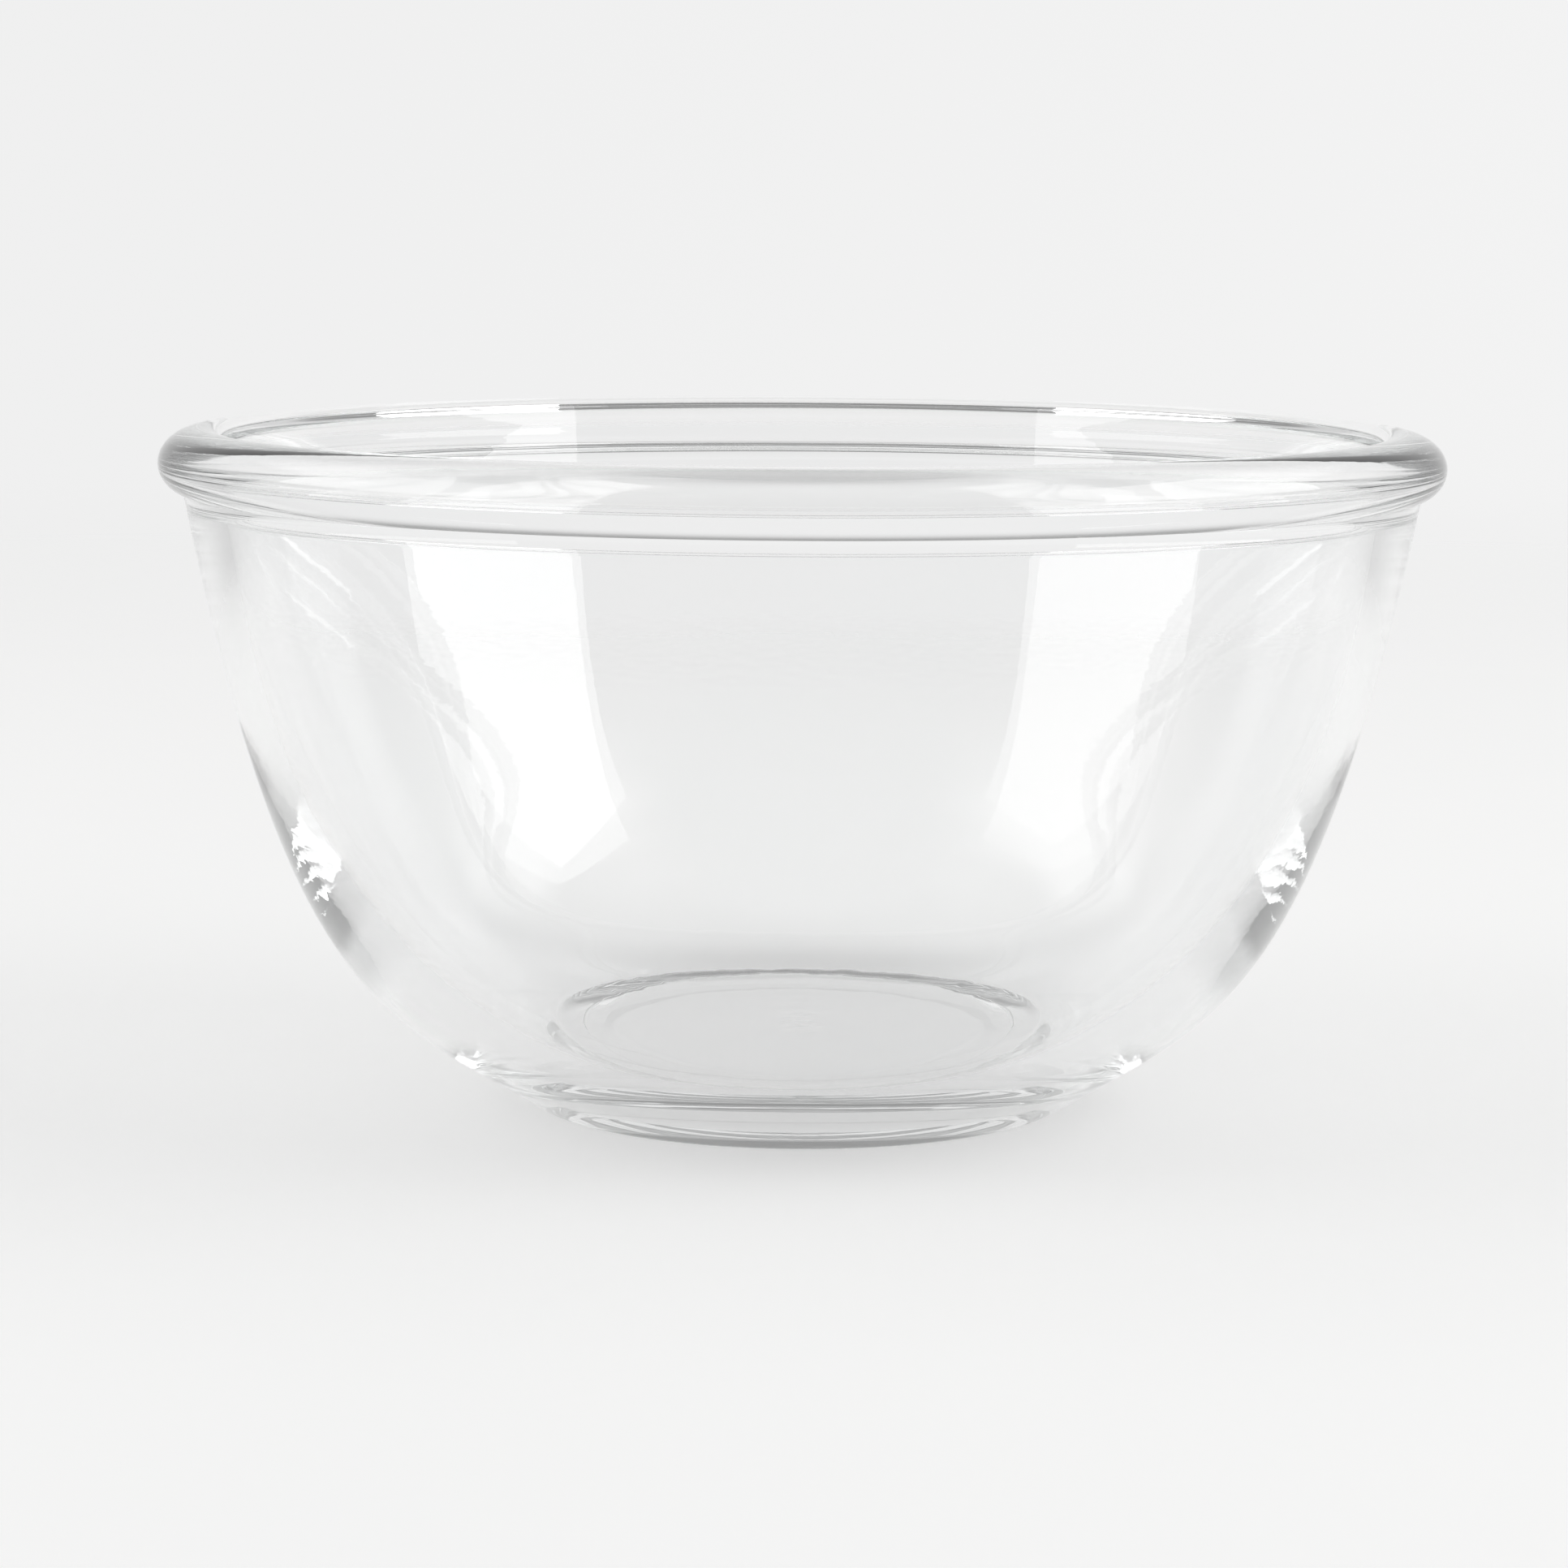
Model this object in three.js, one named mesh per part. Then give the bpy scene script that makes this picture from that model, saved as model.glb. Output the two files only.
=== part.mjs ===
// A mixing bowl of clear pressed glass.
// Millimetres, +Z up. The bowl stands on z = 0 and its axis is the Z axis.
// It is pressed in one shot from one gob of glass, so it is one solid: foot, floor, wall and
// the thick bead round its rim run into each other with no seam between them.
import * as THREE from 'three';

// ---- Driving dimensions -------------------------------------------------------------------

// Overall
const RIM_DIAMETER = 210;       // across the bead, where it is widest
const HEIGHT = 111.4;           // from the table to the top of the bead
const FOOT_DIAMETER = 89;       // where the outside of the wall leaves the table

// Bead round the rim: an ellipse in section on its outer side
const BEAD_HALF_WIDTH = 6.8;    // from the middle of the bead out to its widest point
const BEAD_TOP_RISE = 5.6;      // from the widest point up to the top
const BEAD_UNDER_DROP = 5.4;    // from the widest point down to the bottom of the ellipse
const BEAD_OVERHANG = 4.05;     // how far the bead stands out past the wall under it
const LIP_DROP = 1.6;           // from the top of the bead down to the inside of the wall

// Glass
const WALL_AT_RIM = 6.35;       // measured level, just under the bead
const FLOOR_THICKNESS = 7.4;    // at the middle
const INNER_FLOOR_DIAMETER = 66; // level middle of the floor inside
const FOOT_EDGE_ROUNDING = 0.6; // from the level underside into the wall

// Slopes, in degrees up from level
const OUTER_SLOPE_AT_FOOT = 33;
const OUTER_SLOPE_AT_RIM = 79;
const INNER_SLOPE_AT_FLOOR = 10.1;
const INNER_SLOPE_AT_RIM = 84.8;
const BEAD_TOP_SLOPE = 0;

// How full a curve is at its ends: 0 would be a straight line from end to end, and 1 puts
// the curve's handle in the corner where the tangents of its two ends meet
const OUTER_FULLNESS_AT_FOOT = 0.592;
const OUTER_FULLNESS_AT_RIM = 1.15;
const INNER_FULLNESS_AT_FLOOR = 0.441;
const INNER_FULLNESS_AT_RIM = 0.902;
const LIP_FULLNESS_AT_WALL = 0.455;
const LIP_FULLNESS_AT_TOP = 0.815;

// Share of the outside curve that the rounding of the foot's edge takes up
const FOOT_EDGE_SHARE = 0.012;

// Facets
const SEGMENTS_ROUND = 72;
const WALL_STEPS = 20;
const BEAD_STEPS = 8;
const LIP_STEPS = 6;
const FOOT_EDGE_STEPS = 3;

// ---- Shape of the section -----------------------------------------------------------------

const radians = THREE.MathUtils.degToRad;
const degrees = THREE.MathUtils.radToDeg;

// A smooth cubic curve between two points, given its slope at each end. Both slopes are
// measured up from level, in the direction that leads away from the axis.
function fullCurve(low, lowSlope, lowFullness, high, highSlope, highFullness) {
  const lowDir = new THREE.Vector2(Math.cos(radians(lowSlope)), Math.sin(radians(lowSlope)));
  const highDir = new THREE.Vector2(Math.cos(radians(highSlope)), Math.sin(radians(highSlope)));
  const across = high.clone().sub(low);
  const turn = lowDir.cross(highDir);
  const lowReach = across.cross(highDir) / turn;
  const highReach = lowDir.cross(across) / turn;
  return new THREE.CubicBezierCurve(
    low,
    low.clone().addScaledVector(lowDir, lowReach * lowFullness),
    high.clone().addScaledVector(highDir, -highReach * highFullness),
    high,
  );
}

// Part of the bead's outer side, from one angle to another about the bead's middle
function beadArc(middle, halfHeight, from, to) {
  return new THREE.EllipseCurve(
    middle.x, middle.y, BEAD_HALF_WIDTH, halfHeight, radians(from), radians(to),
  );
}

// The bowl's closed section, from the middle of the underside, out, up and back inside to
// the middle of the floor. x is the distance from the axis and y is the height.
function section() {
  const beadMiddle = new THREE.Vector2(RIM_DIAMETER / 2 - BEAD_HALF_WIDTH, HEIGHT - BEAD_TOP_RISE);
  const beadTop = new THREE.Vector2(beadMiddle.x, HEIGHT);

  // where the wall runs into the underside of the bead
  const wallTopRadius = RIM_DIAMETER / 2 - BEAD_OVERHANG;
  const underAngle = degrees(Math.acos((wallTopRadius - beadMiddle.x) / BEAD_HALF_WIDTH));
  const wallTop = new THREE.Vector2(
    wallTopRadius, beadMiddle.y - BEAD_UNDER_DROP * Math.sin(radians(underAngle)),
  );

  // outside of the wall, up from the foot, less the start that the foot's rounding takes up
  const footCorner = new THREE.Vector2(FOOT_DIAMETER / 2, 0);
  const outerWall = fullCurve(
    footCorner, OUTER_SLOPE_AT_FOOT, OUTER_FULLNESS_AT_FOOT,
    wallTop, OUTER_SLOPE_AT_RIM, OUTER_FULLNESS_AT_RIM,
  );
  const footEdge = new THREE.QuadraticBezierCurve(
    new THREE.Vector2(footCorner.x - FOOT_EDGE_ROUNDING, 0),
    footCorner,
    outerWall.getPoint(FOOT_EDGE_SHARE),
  );

  // inside of the wall, up from the floor to the lip, and the lip over to the bead's top
  const floorEdge = new THREE.Vector2(INNER_FLOOR_DIAMETER / 2, FLOOR_THICKNESS);
  const lipStart = new THREE.Vector2(wallTopRadius - WALL_AT_RIM, HEIGHT - LIP_DROP);
  const innerWall = fullCurve(
    floorEdge, INNER_SLOPE_AT_FLOOR, INNER_FULLNESS_AT_FLOOR,
    lipStart, INNER_SLOPE_AT_RIM, INNER_FULLNESS_AT_RIM,
  );
  const lip = fullCurve(
    lipStart, INNER_SLOPE_AT_RIM, LIP_FULLNESS_AT_WALL,
    beadTop, BEAD_TOP_SLOPE, LIP_FULLNESS_AT_TOP,
  );

  const points = [new THREE.Vector2(0, 0)];
  points.push(...footEdge.getPoints(FOOT_EDGE_STEPS));
  for (let i = 1; i <= WALL_STEPS; i += 1) {
    points.push(outerWall.getPoint(FOOT_EDGE_SHARE + ((1 - FOOT_EDGE_SHARE) * i) / WALL_STEPS));
  }
  points.push(...beadArc(beadMiddle, BEAD_UNDER_DROP, -underAngle, 0).getPoints(BEAD_STEPS).slice(1));
  points.push(...beadArc(beadMiddle, BEAD_TOP_RISE, 0, 90).getPoints(BEAD_STEPS).slice(1));
  points.push(...lip.getPoints(LIP_STEPS).reverse().slice(1));
  points.push(...innerWall.getPoints(WALL_STEPS).reverse().slice(1));
  points.push(new THREE.Vector2(0, FLOOR_THICKNESS));
  return points;
}

// ---- The bowl -----------------------------------------------------------------------------

const geometry = new THREE.LatheGeometry(section(), SEGMENTS_ROUND);
geometry.rotateX(Math.PI / 2);

const glass = new THREE.MeshStandardMaterial({
  color: 0xe6eae8, roughness: 0.02, metalness: 0, transparent: true, opacity: 0.35,
});

const bowl = new THREE.Mesh(geometry, glass);
bowl.name = 'bowl';

const model = new THREE.Group();
model.add(bowl);

export default model;
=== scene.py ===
"""A mixing bowl of clear pressed glass, standing on a pale studio floor under soft lamps.

All sizes are in metres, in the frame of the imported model: +Z up, the bowl's axis on Z and its
foot on z = 0. The bowl was pressed in one shot, so it is one piece of glass. It is made by
turning a section round the axis in a Geometry Nodes tree, and it stands for the CAD solid.
"""
from __future__ import annotations

import logging
import math
from dataclasses import dataclass, field
from enum import Enum

import bmesh
import bpy
from mathutils import Matrix, Vector


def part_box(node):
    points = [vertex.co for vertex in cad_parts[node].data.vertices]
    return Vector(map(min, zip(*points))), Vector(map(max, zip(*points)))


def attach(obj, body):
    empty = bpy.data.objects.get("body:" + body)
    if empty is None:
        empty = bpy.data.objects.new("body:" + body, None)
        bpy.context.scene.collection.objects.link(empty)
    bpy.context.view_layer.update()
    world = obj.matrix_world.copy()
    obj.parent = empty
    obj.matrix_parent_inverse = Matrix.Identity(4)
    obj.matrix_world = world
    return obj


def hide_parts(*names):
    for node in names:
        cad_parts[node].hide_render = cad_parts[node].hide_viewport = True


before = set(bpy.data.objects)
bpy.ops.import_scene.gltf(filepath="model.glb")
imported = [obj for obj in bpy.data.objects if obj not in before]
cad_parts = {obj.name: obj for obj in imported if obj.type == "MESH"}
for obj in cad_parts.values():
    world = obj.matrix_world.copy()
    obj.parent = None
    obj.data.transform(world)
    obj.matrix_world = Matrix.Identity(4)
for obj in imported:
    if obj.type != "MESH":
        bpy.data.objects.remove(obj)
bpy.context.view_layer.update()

LOG = logging.getLogger("mixing_bowl")
MM = 0.001
WHITE = (1.0, 1.0, 1.0, 1.0)
DEEPEST_PATH = 40  # light runs a long way inside thick glass before it finds its way out


class Hand(Enum):
    """Which side of the bowl a lamp stands on, seen from the camera."""

    LEFT = -1
    RIGHT = 1


class GlassMark(Enum):
    """The marks that pressing leaves on the glass, and the order in which they are laid on."""

    WAVER = "waver"
    RIPPLE = "ripple"
    RIDGE = "ridge"
    BASE_RING = "base ring"
    SHEAR_MARK = "shear mark"


# ---- Building node trees --------------------------------------------------------------------


@dataclass
class TreeMaker:
    """Adds nodes to a tree and links them.

    Args:
        tree: the node tree to build in.
    """

    tree: bpy.types.NodeTree

    def add(self, kind: str, **settings: object) -> bpy.types.Node:
        """Adds one node.

        Args:
            kind: the node's type name.
            settings: properties to set on the node, by name.

        Returns:
            The new node.
        """
        node = self.tree.nodes.new(kind)
        for name, value in settings.items():
            setattr(node, name, value)
        return node

    def feed(self, socket: bpy.types.NodeSocket, source: object) -> None:
        """Links a socket to an input, or sets the input to a constant.

        Args:
            socket: the input socket.
            source: an output socket, or a plain value.
        """
        if isinstance(source, bpy.types.NodeSocket):
            self.tree.links.new(source, socket)
        else:
            socket.default_value = source

    def math(self, operation: str, *sources: object) -> bpy.types.NodeSocket:
        """Adds a Math node.

        Args:
            operation: the Math node's operation.
            sources: its inputs in order, sockets or numbers.

        Returns:
            The node's output.
        """
        node = self.add("ShaderNodeMath", operation=operation)
        for socket, source in zip(node.inputs, sources):
            self.feed(socket, source)
        return node.outputs[0]

    def smooth_step(self, value: object, low: object, high: object) -> bpy.types.NodeSocket:
        """Rises smoothly from 0 where value is low to 1 where it is high.

        Args:
            value: what is measured.
            low: where the rise starts.
            high: where it ends.

        Returns:
            The height of the step.
        """
        node = self.add("ShaderNodeMapRange", interpolation_type="SMOOTHSTEP")
        for name, source in (("Value", value), ("From Min", low), ("From Max", high)):
            self.feed(node.inputs[name], source)
        return node.outputs["Result"]

    def band(self, value: object, middle: float, half: float, edge: float) -> bpy.types.NodeSocket:
        """Is 1 within half of the middle and falls smoothly to 0 over the edge.

        Args:
            value: what is measured.
            middle: the band's middle.
            half: how far the band reaches from its middle.
            edge: the width of its soft edge, centred on its border.

        Returns:
            The band's strength.
        """
        away = self.math("ABSOLUTE", self.math("SUBTRACT", value, middle))
        return self.math("SUBTRACT", 1.0, self.smooth_step(away, half - edge / 2, half + edge / 2))


def named_group(name: str, kind: str, inputs: list[tuple], outputs: list[tuple]) -> tuple:
    """Makes a node group with named inputs and outputs.

    Args:
        name: the group's name.
        kind: the tree type.
        inputs: (name, socket type, starting value or None) of each input.
        outputs: (name, socket type) of each output.

    Returns:
        The tree, its maker, its input node and its output node.
    """
    tree = bpy.data.node_groups.new(name, kind)
    for label, socket_type, start in inputs:
        socket = tree.interface.new_socket(name=label, in_out="INPUT", socket_type=socket_type)
        if start is not None:
            socket.default_value = start
    for label, socket_type in outputs:
        tree.interface.new_socket(name=label, in_out="OUTPUT", socket_type=socket_type)
    maker = TreeMaker(tree)
    return tree, maker, maker.add("NodeGroupInput"), maker.add("NodeGroupOutput")


# ---- Finishes -------------------------------------------------------------------------------


@dataclass(frozen=True)
class Mottle:
    """Soft mottling shared by the glass and the floor, as a node group."""

    group_name: str = "soft mottle"

    def tree(self) -> bpy.types.NodeTree:
        """Builds the group once.

        Returns:
            The shader node group, with the inputs Patches per Metre, Detail and Stretch and
            the output Height, from 0 to 1.
        """
        if self.group_name in bpy.data.node_groups:
            return bpy.data.node_groups[self.group_name]
        tree, maker, start, end = named_group(
            self.group_name, "ShaderNodeTree",
            [("Patches per Metre", "NodeSocketFloat", 50.0), ("Detail", "NodeSocketFloat", 2.0),
             ("Stretch", "NodeSocketFloat", 1.0)],
            [("Height", "NodeSocketFloat")])
        place = maker.add("ShaderNodeTexCoord")
        split = maker.add("ShaderNodeSeparateXYZ")
        join = maker.add("ShaderNodeCombineXYZ")
        noise = maker.add("ShaderNodeTexNoise", noise_dimensions="3D")
        maker.feed(split.inputs[0], place.outputs["Object"])
        maker.feed(join.inputs["X"], split.outputs["X"])
        maker.feed(join.inputs["Y"], split.outputs["Y"])
        maker.feed(join.inputs["Z"],
                   maker.math("MULTIPLY", split.outputs["Z"], start.outputs["Stretch"]))
        maker.feed(noise.inputs["Vector"], join.outputs[0])
        maker.feed(noise.inputs["Scale"], start.outputs["Patches per Metre"])
        maker.feed(noise.inputs["Detail"], start.outputs["Detail"])
        maker.feed(end.inputs["Height"], noise.outputs["Fac"])
        return tree

    def place(self, maker: TreeMaker, per_metre: float, detail: float,
              stretch: float = 1.0) -> bpy.types.NodeSocket:
        """Puts the group into a material with its own values.

        Args:
            maker: the material's tree maker.
            per_metre: patches per metre.
            detail: how many finer layers there are.
            stretch: how much closer the patches lie up and down than across.

        Returns:
            The group's height.
        """
        node = maker.add("ShaderNodeGroup", node_tree=self.tree())
        node.inputs["Patches per Metre"].default_value = per_metre
        node.inputs["Detail"].default_value = detail
        node.inputs["Stretch"].default_value = stretch
        return node.outputs["Height"]


@dataclass(frozen=True)
class PressedGlass:
    """Clear soda-lime glass, fire-polished after pressing.

    Heights are those of the surface's marks. The mould's two rings leave a fine ridge round
    the bead, and its base plate leaves a fine ring on the underside. The shears that cut the
    hot gob off leave faint streaks in the middle of the floor.
    """

    name: str = "clear_glass"
    bends_light: float = 1.5
    tint: tuple = (0.86, 0.885, 0.88, 1.0)
    tint_depth: float = 2.2
    film_per_metre: float = 24.0
    film_tone: tuple = (0.985, 0.99, 0.99, 1.0)
    film_from: float = 0.35
    film_to: float = 0.8
    waver_height: float = 0.035 * MM
    wavers_per_metre: float = 42.0
    waver_stretch: float = 0.6
    ripple_height: float = 0.004 * MM
    ripples_per_metre: float = 230.0
    ripple_stretch: float = 2.5
    ridge_height: float = 0.03 * MM
    ridge_half_width: float = 0.25 * MM
    ridge_reach: float = 0.5 * MM
    ring_height: float = 0.05 * MM
    ring_radius: float = 38.5 * MM
    ring_half_width: float = 0.22 * MM
    shear_height: float = 0.05 * MM
    shear_radius: float = 3.2 * MM
    streaks_per_metre: float = 420.0
    dullest: float = 0.012
    dull_per_metre: float = 35.0
    dull_from: float = 0.45
    dull_to: float = 0.85
    scuff_dullness: float = 0.048
    scuffs_per_metre: float = 900.0
    scuffs_from: float = 0.5
    scuffs_to: float = 0.7
    scuffed_below: float = 0.3 * MM

    def material(self, ridge_level: float, ridge_radius: float) -> bpy.types.Material:
        """Builds the glass.

        Args:
            ridge_level: the height of the bead's widest point.
            ridge_radius: a little less than the bead's largest radius.

        Returns:
            The material.
        """
        glass = bpy.data.materials.new(self.name)
        glass.use_nodes = True
        maker = TreeMaker(glass.node_tree)
        shader = glass.node_tree.nodes["Principled BSDF"]
        shader.inputs["IOR"].default_value = self.bends_light
        shader.inputs["Transmission Weight"].default_value = 1.0
        shader.inputs["Metallic"].default_value = 0.0
        self._colour(maker, shader)
        self._polish(maker, shader)
        self._marks(maker, shader, ridge_level, ridge_radius)
        inside = maker.add("ShaderNodeVolumeAbsorption")
        inside.inputs["Color"].default_value = self.tint
        inside.inputs["Density"].default_value = self.tint_depth
        maker.feed(glass.node_tree.nodes["Material Output"].inputs["Volume"], inside.outputs[0])
        return glass

    def _colour(self, maker: TreeMaker, shader: bpy.types.Node) -> None:
        """Varies the surface's colour a little, as film from washing does."""
        film = Mottle().place(maker, self.film_per_metre, 3.0)
        ramp = maker.add("ShaderNodeValToRGB")
        clean, filmed = ramp.color_ramp.elements
        clean.position, clean.color = self.film_from, WHITE
        filmed.position, filmed.color = self.film_to, self.film_tone
        maker.feed(ramp.inputs["Fac"], film)
        maker.feed(shader.inputs["Base Color"], ramp.outputs["Color"])

    def _polish(self, maker: TreeMaker, shader: bpy.types.Node) -> None:
        """Makes the polish a little duller in patches, and on the worn edge of the foot."""
        cloud = Mottle().place(maker, self.dull_per_metre, 4.0)
        patch = maker.smooth_step(cloud, self.dull_from, self.dull_to)
        place = maker.add("ShaderNodeTexCoord")
        split = maker.add("ShaderNodeSeparateXYZ")
        maker.feed(split.inputs[0], place.outputs["Object"])
        low = maker.math("SUBTRACT", 1.0,
                         maker.smooth_step(split.outputs["Z"], 0.0, self.scuffed_below))
        scratches = maker.smooth_step(Mottle().place(maker, self.scuffs_per_metre, 2.0),
                                      self.scuffs_from, self.scuffs_to)
        scuff = maker.math("MULTIPLY", low, scratches)
        dull = maker.math("ADD", maker.math("MULTIPLY", patch, self.dullest),
                          maker.math("MULTIPLY", scuff, self.scuff_dullness))
        maker.feed(shader.inputs["Roughness"], dull)

    def _marks(self, maker: TreeMaker, shader: bpy.types.Node, ridge_level: float,
               ridge_radius: float) -> None:
        """Lays the marks of pressing over each other as bumps."""
        place = maker.add("ShaderNodeTexCoord")
        split = maker.add("ShaderNodeSeparateXYZ")
        maker.feed(split.inputs[0], place.outputs["Object"])
        flat = maker.add("ShaderNodeVectorMath", operation="MULTIPLY")
        maker.feed(flat.inputs[0], place.outputs["Object"])
        flat.inputs[1].default_value = (1.0, 1.0, 0.0)
        length = maker.add("ShaderNodeVectorMath", operation="LENGTH")
        maker.feed(length.inputs[0], flat.outputs[0])
        radius = length.outputs["Value"]
        outer = maker.smooth_step(radius, ridge_radius, ridge_radius + self.ridge_reach)
        underside = maker.math("SUBTRACT", 1.0, maker.smooth_step(
            split.outputs["Z"], self.scuffed_below, 2 * self.scuffed_below))
        heights = {
            GlassMark.WAVER: (
                Mottle().place(maker, self.wavers_per_metre, 1.0, self.waver_stretch),
                self.waver_height),
            GlassMark.RIPPLE: (
                Mottle().place(maker, self.ripples_per_metre, 1.0, self.ripple_stretch),
                self.ripple_height),
            GlassMark.RIDGE: (maker.math("MULTIPLY", outer, maker.band(
                split.outputs["Z"], ridge_level, self.ridge_half_width, self.ridge_half_width)),
                              self.ridge_height),
            GlassMark.BASE_RING: (maker.math("MULTIPLY", underside, maker.band(
                radius, self.ring_radius, self.ring_half_width, self.ring_half_width)),
                                  self.ring_height),
            GlassMark.SHEAR_MARK: (maker.math(
                "MULTIPLY", maker.band(radius, 0.0, self.shear_radius, self.shear_radius),
                Mottle().place(maker, self.streaks_per_metre, 1.0)), self.shear_height),
        }
        normal = None
        for mark in GlassMark:
            height, distance = heights[mark]
            bump = maker.add("ShaderNodeBump", label=mark.value)
            bump.inputs["Distance"].default_value = distance
            maker.feed(bump.inputs["Height"], height)
            if normal is not None:
                maker.feed(bump.inputs["Normal"], normal)
            normal = bump.outputs["Normal"]
        maker.feed(shader.inputs["Normal"], normal)


@dataclass(frozen=True)
class PaperFloor:
    """Pale card lit from above and glowing a little from below, so that shadows stay light."""

    name: str = "pale_card"
    colour: tuple = (0.80, 0.80, 0.795, 1.0)
    share_lit: float = 0.78
    unevenness: float = 0.015
    patches_per_metre: float = 6.0
    glow: float = 0.46
    fade_start: float = 0.5
    fade_end: float = 1.6

    def material(self) -> bpy.types.Material:
        """Builds the card, which fades into the room towards its edge.

        Returns:
            The material.
        """
        card = bpy.data.materials.new(self.name)
        card.use_nodes = True
        card.node_tree.nodes.clear()
        maker = TreeMaker(card.node_tree)
        tone = maker.add("ShaderNodeMapRange")
        maker.feed(tone.inputs["Value"], Mottle().place(maker, self.patches_per_metre, 3.0))
        tone.inputs["To Min"].default_value = self.share_lit * (1.0 - self.unevenness)
        tone.inputs["To Max"].default_value = self.share_lit * (1.0 + self.unevenness)
        shade = maker.add("ShaderNodeVectorMath", operation="SCALE")
        shade.inputs[0].default_value = self.colour[:3]
        maker.feed(shade.inputs["Scale"], tone.outputs["Result"])
        lit = maker.add("ShaderNodeBsdfDiffuse")
        maker.feed(lit.inputs["Color"], shade.outputs[0])
        glow = maker.add("ShaderNodeEmission")
        glow.inputs["Color"].default_value = WHITE
        glow.inputs["Strength"].default_value = self.glow
        both = maker.add("ShaderNodeAddShader")
        maker.feed(both.inputs[0], lit.outputs[0])
        maker.feed(both.inputs[1], glow.outputs[0])
        place = maker.add("ShaderNodeTexCoord")
        away = maker.add("ShaderNodeVectorMath", operation="LENGTH")
        maker.feed(away.inputs[0], place.outputs["Object"])
        clear = maker.add("ShaderNodeBsdfTransparent")
        mix = maker.add("ShaderNodeMixShader")
        maker.feed(mix.inputs[0],
                   maker.smooth_step(away.outputs["Value"], self.fade_start, self.fade_end))
        maker.feed(mix.inputs[1], both.outputs[0])
        maker.feed(mix.inputs[2], clear.outputs[0])
        out = maker.add("ShaderNodeOutputMaterial")
        maker.feed(out.inputs["Surface"], mix.outputs[0])
        return card


@dataclass(frozen=True)
class LampCloth:
    """The glowing white cloth on the front of a lamp."""

    strength: float

    def material(self, name: str) -> bpy.types.Material:
        """Builds the cloth.

        Args:
            name: the material's name.

        Returns:
            The material.
        """
        cloth = bpy.data.materials.new(name)
        cloth.use_nodes = True
        cloth.node_tree.nodes.clear()
        maker = TreeMaker(cloth.node_tree)
        glow = maker.add("ShaderNodeEmission")
        glow.inputs["Strength"].default_value = self.strength
        out = maker.add("ShaderNodeOutputMaterial")
        maker.feed(out.inputs["Surface"], glow.outputs[0])
        return cloth


# ---- The bowl -------------------------------------------------------------------------------


@dataclass(frozen=True)
class SectionCurve:
    """A cubic curve in the section, by its ends, its slopes there and how full it is.

    Slopes are in degrees up from level. A fullness of 0 would be a straight line, 1 puts the
    handle in the corner where the two tangents meet, and more puts it past that corner.
    """

    low: Vector
    low_slope: float
    low_fullness: float
    high: Vector
    high_slope: float
    high_fullness: float

    def point(self, share: float) -> Vector:
        """Gives the point at a share of the curve, from 0 at its low end to 1.

        Args:
            share: how far along the curve.

        Returns:
            The radius and height there.
        """
        low_turn, high_turn = math.radians(self.low_slope), math.radians(self.high_slope)
        low_way = Vector((math.cos(low_turn), math.sin(low_turn)))
        high_way = Vector((math.cos(high_turn), math.sin(high_turn)))
        across = self.high - self.low
        turn = low_way.cross(high_way)
        handle_a = self.low + low_way * (across.cross(high_way) / turn * self.low_fullness)
        handle_b = self.high - high_way * (low_way.cross(across) / turn * self.high_fullness)
        rest = 1.0 - share
        return (self.low * rest ** 3 + handle_a * (3 * rest * rest * share)
                + handle_b * (3 * rest * share * share) + self.high * share ** 3)

    def points(self, steps: int, start: float = 0.0) -> list[Vector]:
        """Gives evenly stepped points from a share of the curve to its high end.

        Args:
            steps: how many steps there are.
            start: the share at which they begin.

        Returns:
            steps + 1 points.
        """
        return [self.point(start + (1.0 - start) * i / steps) for i in range(steps + 1)]


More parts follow.
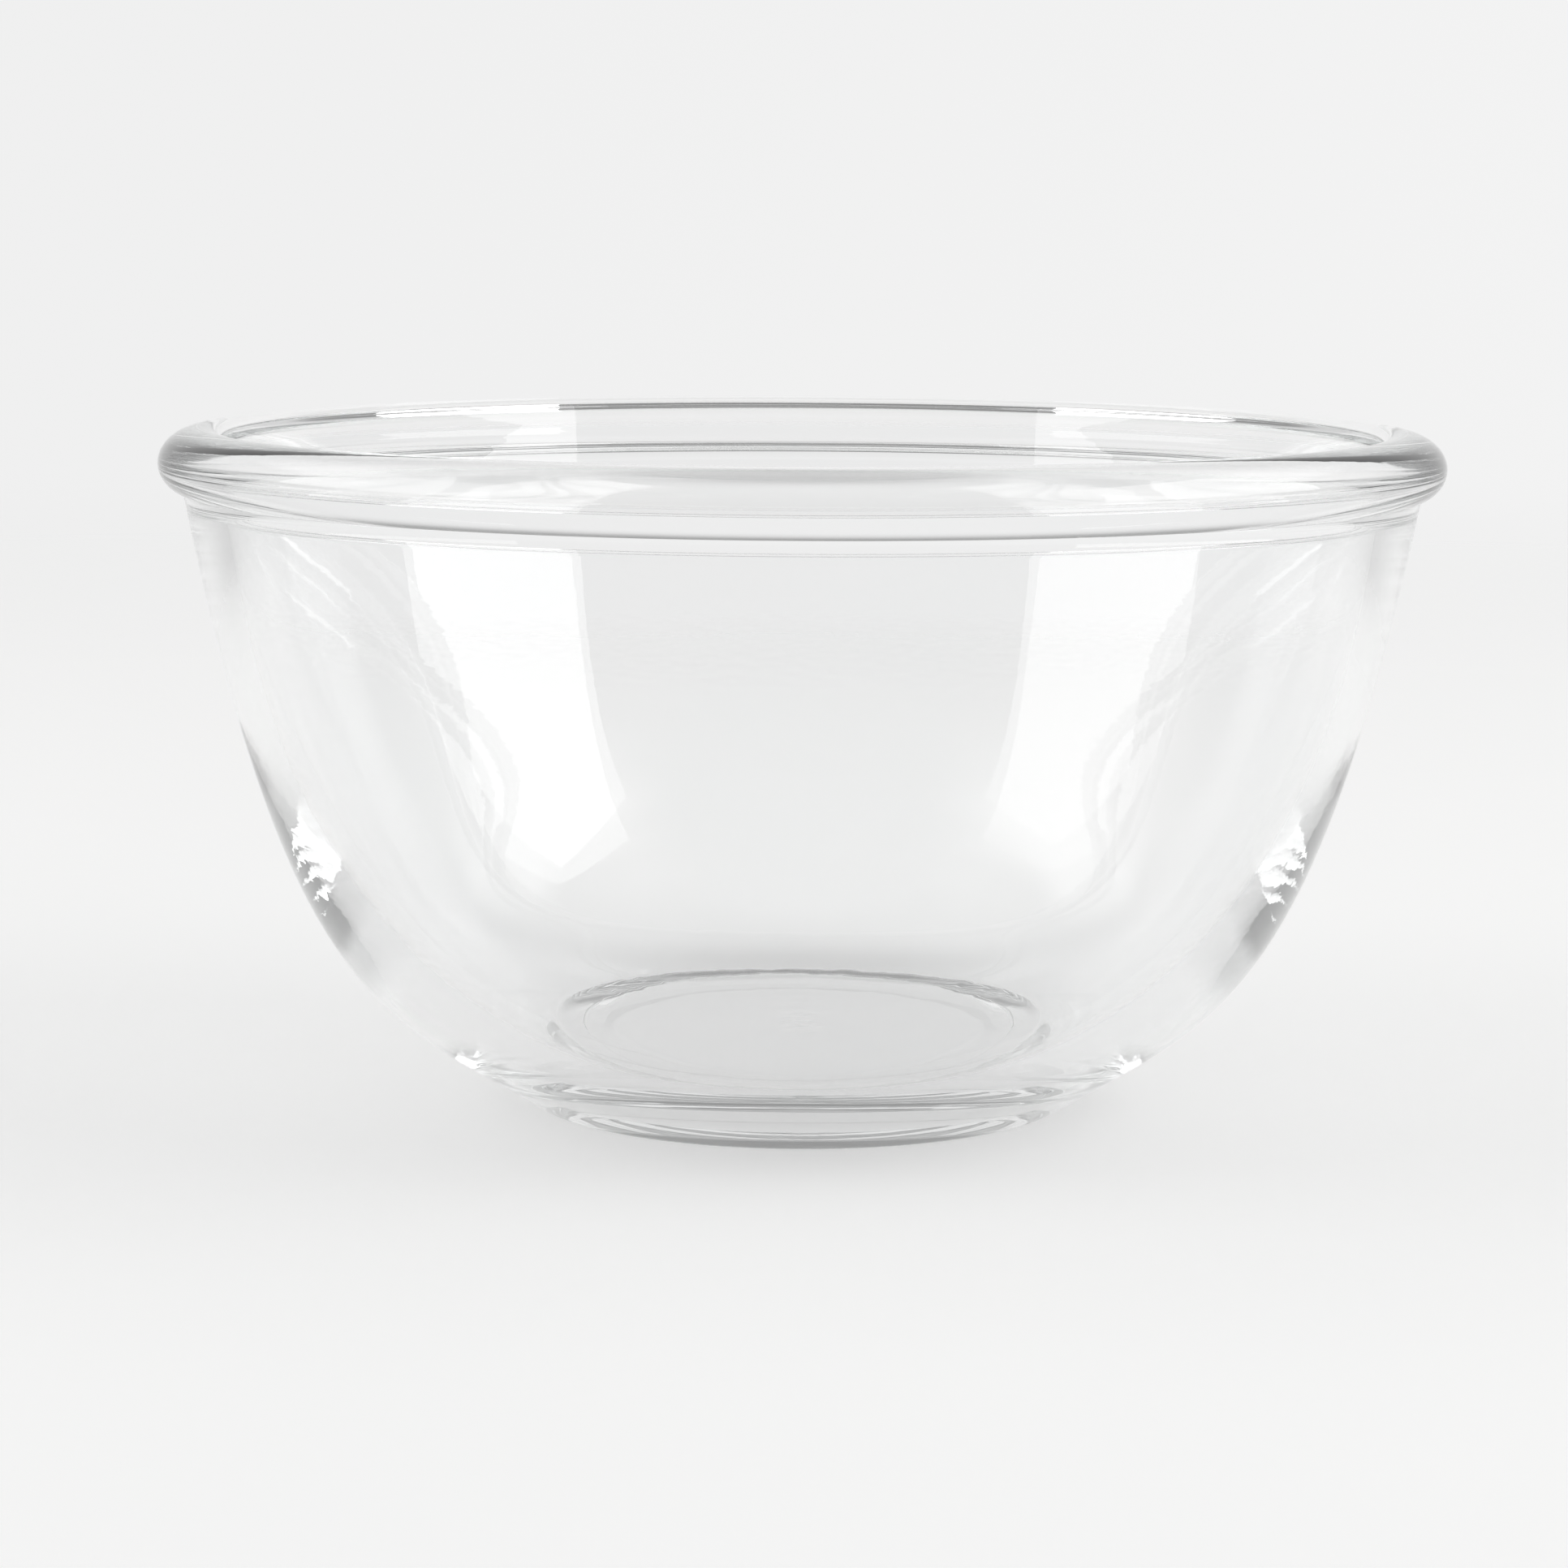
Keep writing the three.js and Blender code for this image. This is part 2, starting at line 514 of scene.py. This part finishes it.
@dataclass
class BowlSection:
    """The bowl's section: foot, wall, bead, lip, inside and floor."""

    rim_radius: float
    height: float
    foot_radius: float = 44.5 * MM
    bead_half_width: float = 6.8 * MM
    bead_top_rise: float = 5.6 * MM
    bead_under_drop: float = 5.4 * MM
    bead_overhang: float = 4.05 * MM
    lip_drop: float = 1.6 * MM
    wall_at_rim: float = 6.35 * MM
    floor_thickness: float = 7.4 * MM
    inner_floor_radius: float = 33.0 * MM
    foot_edge_rounding: float = 0.6 * MM
    foot_edge_share: float = 0.012
    outer_slopes: tuple = (33.0, 79.0)
    outer_fullness: tuple = (0.592, 1.15)
    inner_slopes: tuple = (10.1, 84.8)
    inner_fullness: tuple = (0.441, 0.902)
    lip_fullness: tuple = (0.455, 0.815)
    wall_steps: int = 84
    bead_steps: int = 22
    lip_steps: int = 20
    edge_steps: int = 6
    level_steps: int = 7

    @property
    def bead_middle(self) -> Vector:
        """The middle of the bead, from which its outer side is drawn."""
        return Vector((self.rim_radius - self.bead_half_width, self.height - self.bead_top_rise))

    def outline(self) -> list[Vector]:
        """Draws the section from the middle of the underside round to the floor's middle.

        Returns:
            Points of radius and height, without repeats.
        """
        middle = self.bead_middle
        wall_top_radius = self.rim_radius - self.bead_overhang
        under = math.acos((wall_top_radius - middle.x) / self.bead_half_width)
        wall_top = Vector((wall_top_radius, middle.y - self.bead_under_drop * math.sin(under)))
        foot = Vector((self.foot_radius, 0.0))
        outer = SectionCurve(foot, self.outer_slopes[0], self.outer_fullness[0],
                             wall_top, self.outer_slopes[1], self.outer_fullness[1])
        floor_edge = Vector((self.inner_floor_radius, self.floor_thickness))
        lip_start = Vector((wall_top_radius - self.wall_at_rim, self.height - self.lip_drop))
        inner = SectionCurve(floor_edge, self.inner_slopes[0], self.inner_fullness[0],
                             lip_start, self.inner_slopes[1], self.inner_fullness[1])
        lip = SectionCurve(lip_start, self.inner_slopes[1], self.lip_fullness[0],
                           Vector((middle.x, self.height)), 0.0, self.lip_fullness[1])
        points = self._level(0.0, self.foot_radius - self.foot_edge_rounding, 0.0)
        points += self._foot_edge(outer)
        points += outer.points(self.wall_steps, self.foot_edge_share)[1:]
        points += self._arc(-under, 0.0, self.bead_under_drop)
        points += self._arc(0.0, math.pi / 2, self.bead_top_rise)
        points += lip.points(self.lip_steps)[::-1][1:]
        points += inner.points(self.wall_steps)[::-1][1:]
        points += self._level(self.inner_floor_radius, 0.0, self.floor_thickness)[1:]
        return points

    def _level(self, start: float, end: float, height: float) -> list[Vector]:
        """Draws a level line, with its points closer towards the foot's or floor's edge."""
        low, high = min(start, end), max(start, end)
        radii = [low + (high - low) * math.sin(math.pi / 2 * i / self.level_steps)
                 for i in range(self.level_steps + 1)]
        points = [Vector((r, height)) for r in radii]
        return points if start < end else points[::-1]

    def _foot_edge(self, outer: SectionCurve) -> list[Vector]:
        """Rounds the underside into the wall."""
        start = Vector((self.foot_radius - self.foot_edge_rounding, 0.0))
        corner = Vector((self.foot_radius, 0.0))
        end = outer.point(self.foot_edge_share)
        shares = [i / self.edge_steps for i in range(1, self.edge_steps + 1)]
        return [start * (1 - t) ** 2 + corner * (2 * t * (1 - t)) + end * t * t for t in shares]

    def _arc(self, start: float, end: float, half_height: float) -> list[Vector]:
        """Draws part of the bead's outer side, leaving out its first point."""
        middle = self.bead_middle
        angles = [start + (end - start) * i / self.bead_steps for i in range(1, self.bead_steps + 1)]
        return [Vector((middle.x + self.bead_half_width * math.cos(a),
                        middle.y + half_height * math.sin(a))) for a in angles]


@dataclass
class MixingBowl:
    """The bowl: one piece of pressed glass, turned from its section."""

    section: BowlSection
    finish: PressedGlass = field(default_factory=PressedGlass)
    node: str = "bowl"
    segments_round: int = 288
    waver_depth: float = 0.03 * MM
    wavers_per_metre: float = 38.0
    waver_starts: float = 1.0 * MM
    waver_full: float = 12.0 * MM
    merge_within: float = 0.002 * MM
    ridge_inset: float = 1.2 * MM
    seed: int = 7

    def build(self) -> bpy.types.Object:
        """Builds the bowl and hides the CAD part that it takes the place of.

        Returns:
            The finished piece.
        """
        glass = self.finish.material(self.section.bead_middle.y,
                                     self.section.rim_radius - self.ridge_inset)
        raw = self._section_object()
        self._turn(raw, glass)
        piece = self._baked(raw, glass)
        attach(piece, "root")
        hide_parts(self.node)
        LOG.info("bowl: %d faces, %.1f mm across, %.1f mm high", len(piece.data.polygons),
                 piece.dimensions.x / MM, piece.dimensions.z / MM)
        return piece

    def _section_object(self) -> bpy.types.Object:
        """Makes the section's points a mesh object in the XZ plane, for the tree to turn."""
        points = self.section.outline()
        mesh = bpy.data.meshes.new("bowl section")
        mesh.from_pydata([(p.x, 0.0, p.y) for p in points],
                         [(i, i + 1) for i in range(len(points) - 1)], [])
        raw = bpy.data.objects.new("bowl section", mesh)
        bpy.context.scene.collection.objects.link(raw)
        return raw

    def _turning_tree(self) -> bpy.types.NodeTree:
        """Builds the tree that turns a section round the Z axis.

        Returns:
            The Geometry Nodes tree.
        """
        tree, maker, start, end = named_group(
            "turned section", "GeometryNodeTree",
            [("Section", "NodeSocketGeometry", None), ("Segments Round", "NodeSocketInt", 96),
             ("Waver Depth", "NodeSocketFloat", 0.0), ("Wavers per Metre", "NodeSocketFloat", 40.0),
             ("Seed", "NodeSocketInt", 0), ("Glass", "NodeSocketMaterial", None)],
            [("Bowl", "NodeSocketGeometry")])
        count = maker.add("GeometryNodeAttributeDomainSize", component="MESH")
        maker.feed(count.inputs[0], start.outputs["Section"])
        sheet = maker.add("GeometryNodeMeshGrid")
        maker.feed(sheet.inputs["Vertices X"], maker.math("ADD", start.outputs["Segments Round"], 1.0))
        maker.feed(sheet.inputs["Vertices Y"], count.outputs["Point Count"])
        place = maker.add("GeometryNodeInputPosition")
        split = maker.add("ShaderNodeSeparateXYZ")
        maker.feed(split.inputs[0], place.outputs[0])
        angle = maker.math("MULTIPLY", maker.math("ADD", split.outputs["X"], 0.5), 2 * math.pi)
        last = maker.math("SUBTRACT", count.outputs["Point Count"], 1.0)
        along = maker.math("ADD", split.outputs["Y"], 0.5)
        step = maker.math("ROUND", maker.math("MULTIPLY", along, last))
        look = maker.add("GeometryNodeSampleIndex", data_type="FLOAT_VECTOR", domain="POINT")
        maker.feed(look.inputs["Geometry"], start.outputs["Section"])
        maker.feed(look.inputs["Value"], maker.add("GeometryNodeInputPosition").outputs[0])
        maker.feed(look.inputs["Index"], step)
        here = maker.add("ShaderNodeSeparateXYZ")
        maker.feed(here.inputs[0], look.outputs["Value"])
        turned = maker.add("ShaderNodeCombineXYZ")
        for axis, wave in (("X", "COSINE"), ("Y", "SINE")):
            maker.feed(turned.inputs[axis],
                       maker.math("MULTIPLY", here.outputs["X"], maker.math(wave, angle)))
        maker.feed(turned.inputs["Z"], here.outputs["Z"])
        move = maker.add("GeometryNodeSetPosition")
        maker.feed(move.inputs["Geometry"], sheet.outputs["Mesh"])
        maker.feed(move.inputs["Position"], turned.outputs[0])
        merge = maker.add("GeometryNodeMergeByDistance")
        maker.feed(merge.inputs["Geometry"], move.outputs[0])
        merge.inputs["Distance"].default_value = self.merge_within
        wavered = self._waver(maker, start, merge.outputs[0])
        smooth = maker.add("GeometryNodeSetShadeSmooth")
        maker.feed(smooth.inputs["Geometry"], wavered)
        real = maker.add("GeometryNodeRealizeInstances")
        maker.feed(real.inputs["Geometry"], smooth.outputs[0])
        coat = maker.add("GeometryNodeSetMaterial")
        maker.feed(coat.inputs["Geometry"], real.outputs[0])
        maker.feed(coat.inputs["Material"], start.outputs["Glass"])
        maker.feed(end.inputs["Bowl"], coat.outputs[0])
        return tree

    def _waver(self, maker: TreeMaker, start: bpy.types.Node,
               mesh: bpy.types.NodeSocket) -> bpy.types.NodeSocket:
        """Sinks the surface a little in soft patches, except near the foot.

        Args:
            maker: the tree's maker.
            start: the tree's input node.
            mesh: the turned mesh.

        Returns:
            The wavered mesh.
        """
        place = maker.add("GeometryNodeInputPosition")
        split = maker.add("ShaderNodeSeparateXYZ")
        maker.feed(split.inputs[0], place.outputs[0])
        noise = maker.add("ShaderNodeTexNoise", noise_dimensions="4D")
        maker.feed(noise.inputs["Vector"], place.outputs[0])
        maker.feed(noise.inputs["Scale"], start.outputs["Wavers per Metre"])
        maker.feed(noise.inputs["W"], start.outputs["Seed"])
        noise.inputs["Detail"].default_value = 0.5
        above_foot = maker.smooth_step(split.outputs["Z"], self.waver_starts, self.waver_full)
        share = maker.math("MULTIPLY", noise.outputs["Fac"], above_foot)
        depth = maker.math("MULTIPLY", share, maker.math("MULTIPLY", start.outputs["Waver Depth"], -1.0))
        facing = maker.add("GeometryNodeInputNormal")
        sink = maker.add("ShaderNodeVectorMath", operation="SCALE")
        maker.feed(sink.inputs[0], facing.outputs[0])
        maker.feed(sink.inputs["Scale"], depth)
        move = maker.add("GeometryNodeSetPosition")
        maker.feed(move.inputs["Geometry"], mesh)
        maker.feed(move.inputs["Offset"], sink.outputs[0])
        return move.outputs[0]

    def _turn(self, raw: bpy.types.Object, glass: bpy.types.Material) -> None:
        """Gives the section object the turning tree, with this bowl's values."""
        turner = raw.modifiers.new("turned section", "NODES")
        turner.node_group = self._turning_tree()
        values = {"Segments Round": self.segments_round, "Waver Depth": self.waver_depth,
                  "Wavers per Metre": self.wavers_per_metre, "Seed": self.seed, "Glass": glass}
        for item in turner.node_group.interface.items_tree:
            if item.in_out == "INPUT" and item.name in values:
                turner[item.identifier] = values[item.name]

    def _baked(self, raw: bpy.types.Object, glass: bpy.types.Material) -> bpy.types.Object:
        """Turns the tree's result into a plain mesh that faces outwards.

        Args:
            raw: the section object with its modifier.
            glass: the glass.

        Returns:
            The bowl as an object of its own.
        """
        graph = bpy.context.evaluated_depsgraph_get()
        mesh = bpy.data.meshes.new_from_object(raw.evaluated_get(graph))
        mesh.name = "pressed_bowl"
        raw.modifiers.clear()
        bpy.data.objects.remove(raw)
        work = bmesh.new()
        work.from_mesh(mesh)
        bmesh.ops.recalc_face_normals(work, faces=work.faces)
        work.to_mesh(mesh)
        work.free()
        mesh.materials.clear()
        mesh.materials.append(glass)
        piece = bpy.data.objects.new("pressed_bowl", mesh)
        bpy.context.scene.collection.objects.link(piece)
        return piece


# ---- The studio -----------------------------------------------------------------------------


@dataclass(frozen=True)
class SkyPatch:
    """A soft-edged patch of light in the room, by its place and size in degrees.

    The azimuth is measured from straight behind the bowl, towards the camera's right. A patch
    on both hands has a twin on the other side.
    """

    azimuth: float
    half_azimuth: float
    azimuth_edge: float
    elevation: float
    half_elevation: float
    elevation_edge: float
    strength: float
    both_hands: bool = True


@dataclass
class SoftLamp:
    """A large upright lamp with a cloth front that faces the bowl from one side.

    Its front lies level with the axis at reach to the side. Its two upright edges lean a
    little, and each is given by its place along Y at the bottom and at the top.
    """

    hand: Hand
    cloth: LampCloth
    near_edge: tuple
    far_edge: tuple
    bottom: float
    tops: tuple
    reach: float = 1.1

    def build(self) -> bpy.types.Object:
        """Builds the lamp's front.

        Returns:
            The lamp.
        """
        name = f"lamp_{self.hand.name.lower()}"
        side = self.hand.value * self.reach
        points = [(side, self.near_edge[0], self.bottom), (side, self.far_edge[0], self.bottom),
                  (side, self.far_edge[1], self.tops[1]), (side, self.near_edge[1], self.tops[0])]
        mesh = bpy.data.meshes.new(name)
        mesh.from_pydata(points, [], [(0, 1, 2, 3)])
        mesh.materials.append(self.cloth.material(name))
        lamp = bpy.data.objects.new(name, mesh)
        bpy.context.scene.collection.objects.link(lamp)
        lamp.visible_camera = False  # it lights the glass and shows in it, but isn't seen itself
        LOG.info("%s: %.1f m to the side", name, self.reach)
        return lamp


@dataclass(frozen=True)
class StudioCamera:
    """The camera, in front of the bowl and a little above the rim.

    The dip, swing and tilt are in degrees: below level, to the left, and about its own axis.
    """

    place: tuple = (0.0, -0.74973, 0.15455)
    lens_mm: float = 104.72
    sensor_mm: float = 36.0
    dip: float = 7.775
    swing: float = 0.2046
    tilt: float = 0.327
    nearest: float = 0.01
    farthest: float = 100.0

    def build(self) -> None:
        """Builds the camera and makes it the scene's."""
        data = bpy.data.cameras.new("camera")
        data.lens = self.lens_mm
        data.sensor_width = self.sensor_mm
        data.clip_start = self.nearest
        data.clip_end = self.farthest
        camera = bpy.data.objects.new("camera", data)
        bpy.context.scene.collection.objects.link(camera)
        camera.matrix_world = (Matrix.Translation(self.place)
                               @ Matrix.Rotation(math.radians(self.swing), 4, "Z")
                               @ Matrix.Rotation(math.radians(90.0 - self.dip), 4, "X")
                               @ Matrix.Rotation(math.radians(self.tilt), 4, "Z"))
        bpy.context.scene.camera = camera
        LOG.info("camera: lens %.1f mm", data.lens)


@dataclass
class Studio:
    """The floor, the lamps, the light of the room and the camera."""

    floor_radius: float = 4.0
    floor_drop: float = 0.2 * MM
    floor_sides: int = 96
    floor: PaperFloor = field(default_factory=PaperFloor)
    left: SoftLamp = field(default_factory=lambda: SoftLamp(
        Hand.LEFT, LampCloth(2.2), near_edge=(-0.85, -0.63), far_edge=(0.18, 0.141),
        bottom=0.26, tops=(1.262, 1.143)))
    right: SoftLamp = field(default_factory=lambda: SoftLamp(
        Hand.RIGHT, LampCloth(2.7), near_edge=(-0.90, -0.71), far_edge=(0.14, 0.30),
        bottom=0.26, tops=(1.35, 1.40)))
    camera: StudioCamera = field(default_factory=StudioCamera)
    room: float = 0.26
    patches: tuple = (
        SkyPatch(0.0, 30.0, 25.0, -28.0, 61.0, 14.0, 0.26),
        SkyPatch(0.0, 60.0, 14.0, -28.0, 58.0, 20.0, 0.35),
        SkyPatch(85.0, 42.0, 40.0, 40.0, 8.0, 8.0, 1.3),
        SkyPatch(90.0, 30.0, 20.0, 26.0, 7.0, 8.0, 0.35),
        SkyPatch(0.0, 120.0, 30.0, 57.0, 10.0, 10.0, 0.25),
        SkyPatch(40.0, 30.0, 40.0, 0.0, 30.0, 30.0, 0.05, False),
    )

    def build(self) -> None:
        """Builds the studio round the bowl."""
        self._floor()
        self.left.build()
        self.right.build()
        self._room()
        self.camera.build()

    def _floor(self) -> None:
        """Lays the floor, a disc under the bowl."""
        count = self.floor_sides
        rim = [(self.floor_radius * math.cos(2 * math.pi * i / count),
                self.floor_radius * math.sin(2 * math.pi * i / count), 0.0) for i in range(count)]
        mesh = bpy.data.meshes.new("studio_floor")
        mesh.from_pydata([(0.0, 0.0, 0.0)] + rim, [],
                         [(0, 1 + i, 1 + (i + 1) % count) for i in range(count)])
        mesh.transform(Matrix.Translation((0.0, 0.0, -self.floor_drop)))
        mesh.materials.append(self.floor.material())
        floor = bpy.data.objects.new("studio_floor", mesh)
        bpy.context.scene.collection.objects.link(floor)
        LOG.info("floor: %.0f m across", 2 * self.floor_radius)

    def _room(self) -> None:
        """Lights the room, bright behind the bowl and dimmer elsewhere."""
        world = bpy.data.worlds.new("studio_room")
        bpy.context.scene.world = world
        world.use_nodes = True
        world.node_tree.nodes.clear()
        maker = TreeMaker(world.node_tree)
        place = maker.add("ShaderNodeTexCoord")
        split = maker.add("ShaderNodeSeparateXYZ")
        maker.feed(split.inputs[0], place.outputs["Generated"])
        elevation = maker.math("DEGREES", maker.math("ARCSINE", split.outputs["Z"]))
        azimuth = maker.math("DEGREES", maker.math("ARCTAN2", split.outputs["X"], split.outputs["Y"]))
        turned_away = maker.math("ABSOLUTE", azimuth)
        total = self.room
        for patch in self.patches:
            across = maker.band(turned_away if patch.both_hands else azimuth,
                                patch.azimuth, patch.half_azimuth, patch.azimuth_edge)
            upward = maker.band(elevation, patch.elevation, patch.half_elevation, patch.elevation_edge)
            light = maker.math("MULTIPLY", maker.math("MULTIPLY", across, upward), patch.strength)
            total = maker.math("ADD", light, total)
        room = maker.add("ShaderNodeBackground")
        room.inputs["Color"].default_value = WHITE
        maker.feed(room.inputs["Strength"], total)
        out = maker.add("ShaderNodeOutputWorld")
        maker.feed(out.inputs["Surface"], room.outputs[0])
        LOG.info("room light: %d patches", len(self.patches))


def main() -> None:
    """Builds the bowl and its studio."""
    logging.basicConfig(level=logging.INFO, format="%(name)s: %(message)s")
    low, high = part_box("bowl")
    MixingBowl(BowlSection(rim_radius=(high[0] - low[0]) / 2, height=high[2] - low[2])).build()
    Studio().build()
    scene = bpy.context.scene
    scene.view_settings.view_transform = "Standard"
    scene.cycles.max_bounces = DEEPEST_PATH
    scene.cycles.transmission_bounces = DEEPEST_PATH
    scene.cycles.glossy_bounces = DEEPEST_PATH


if __name__ == "__main__":
    main()
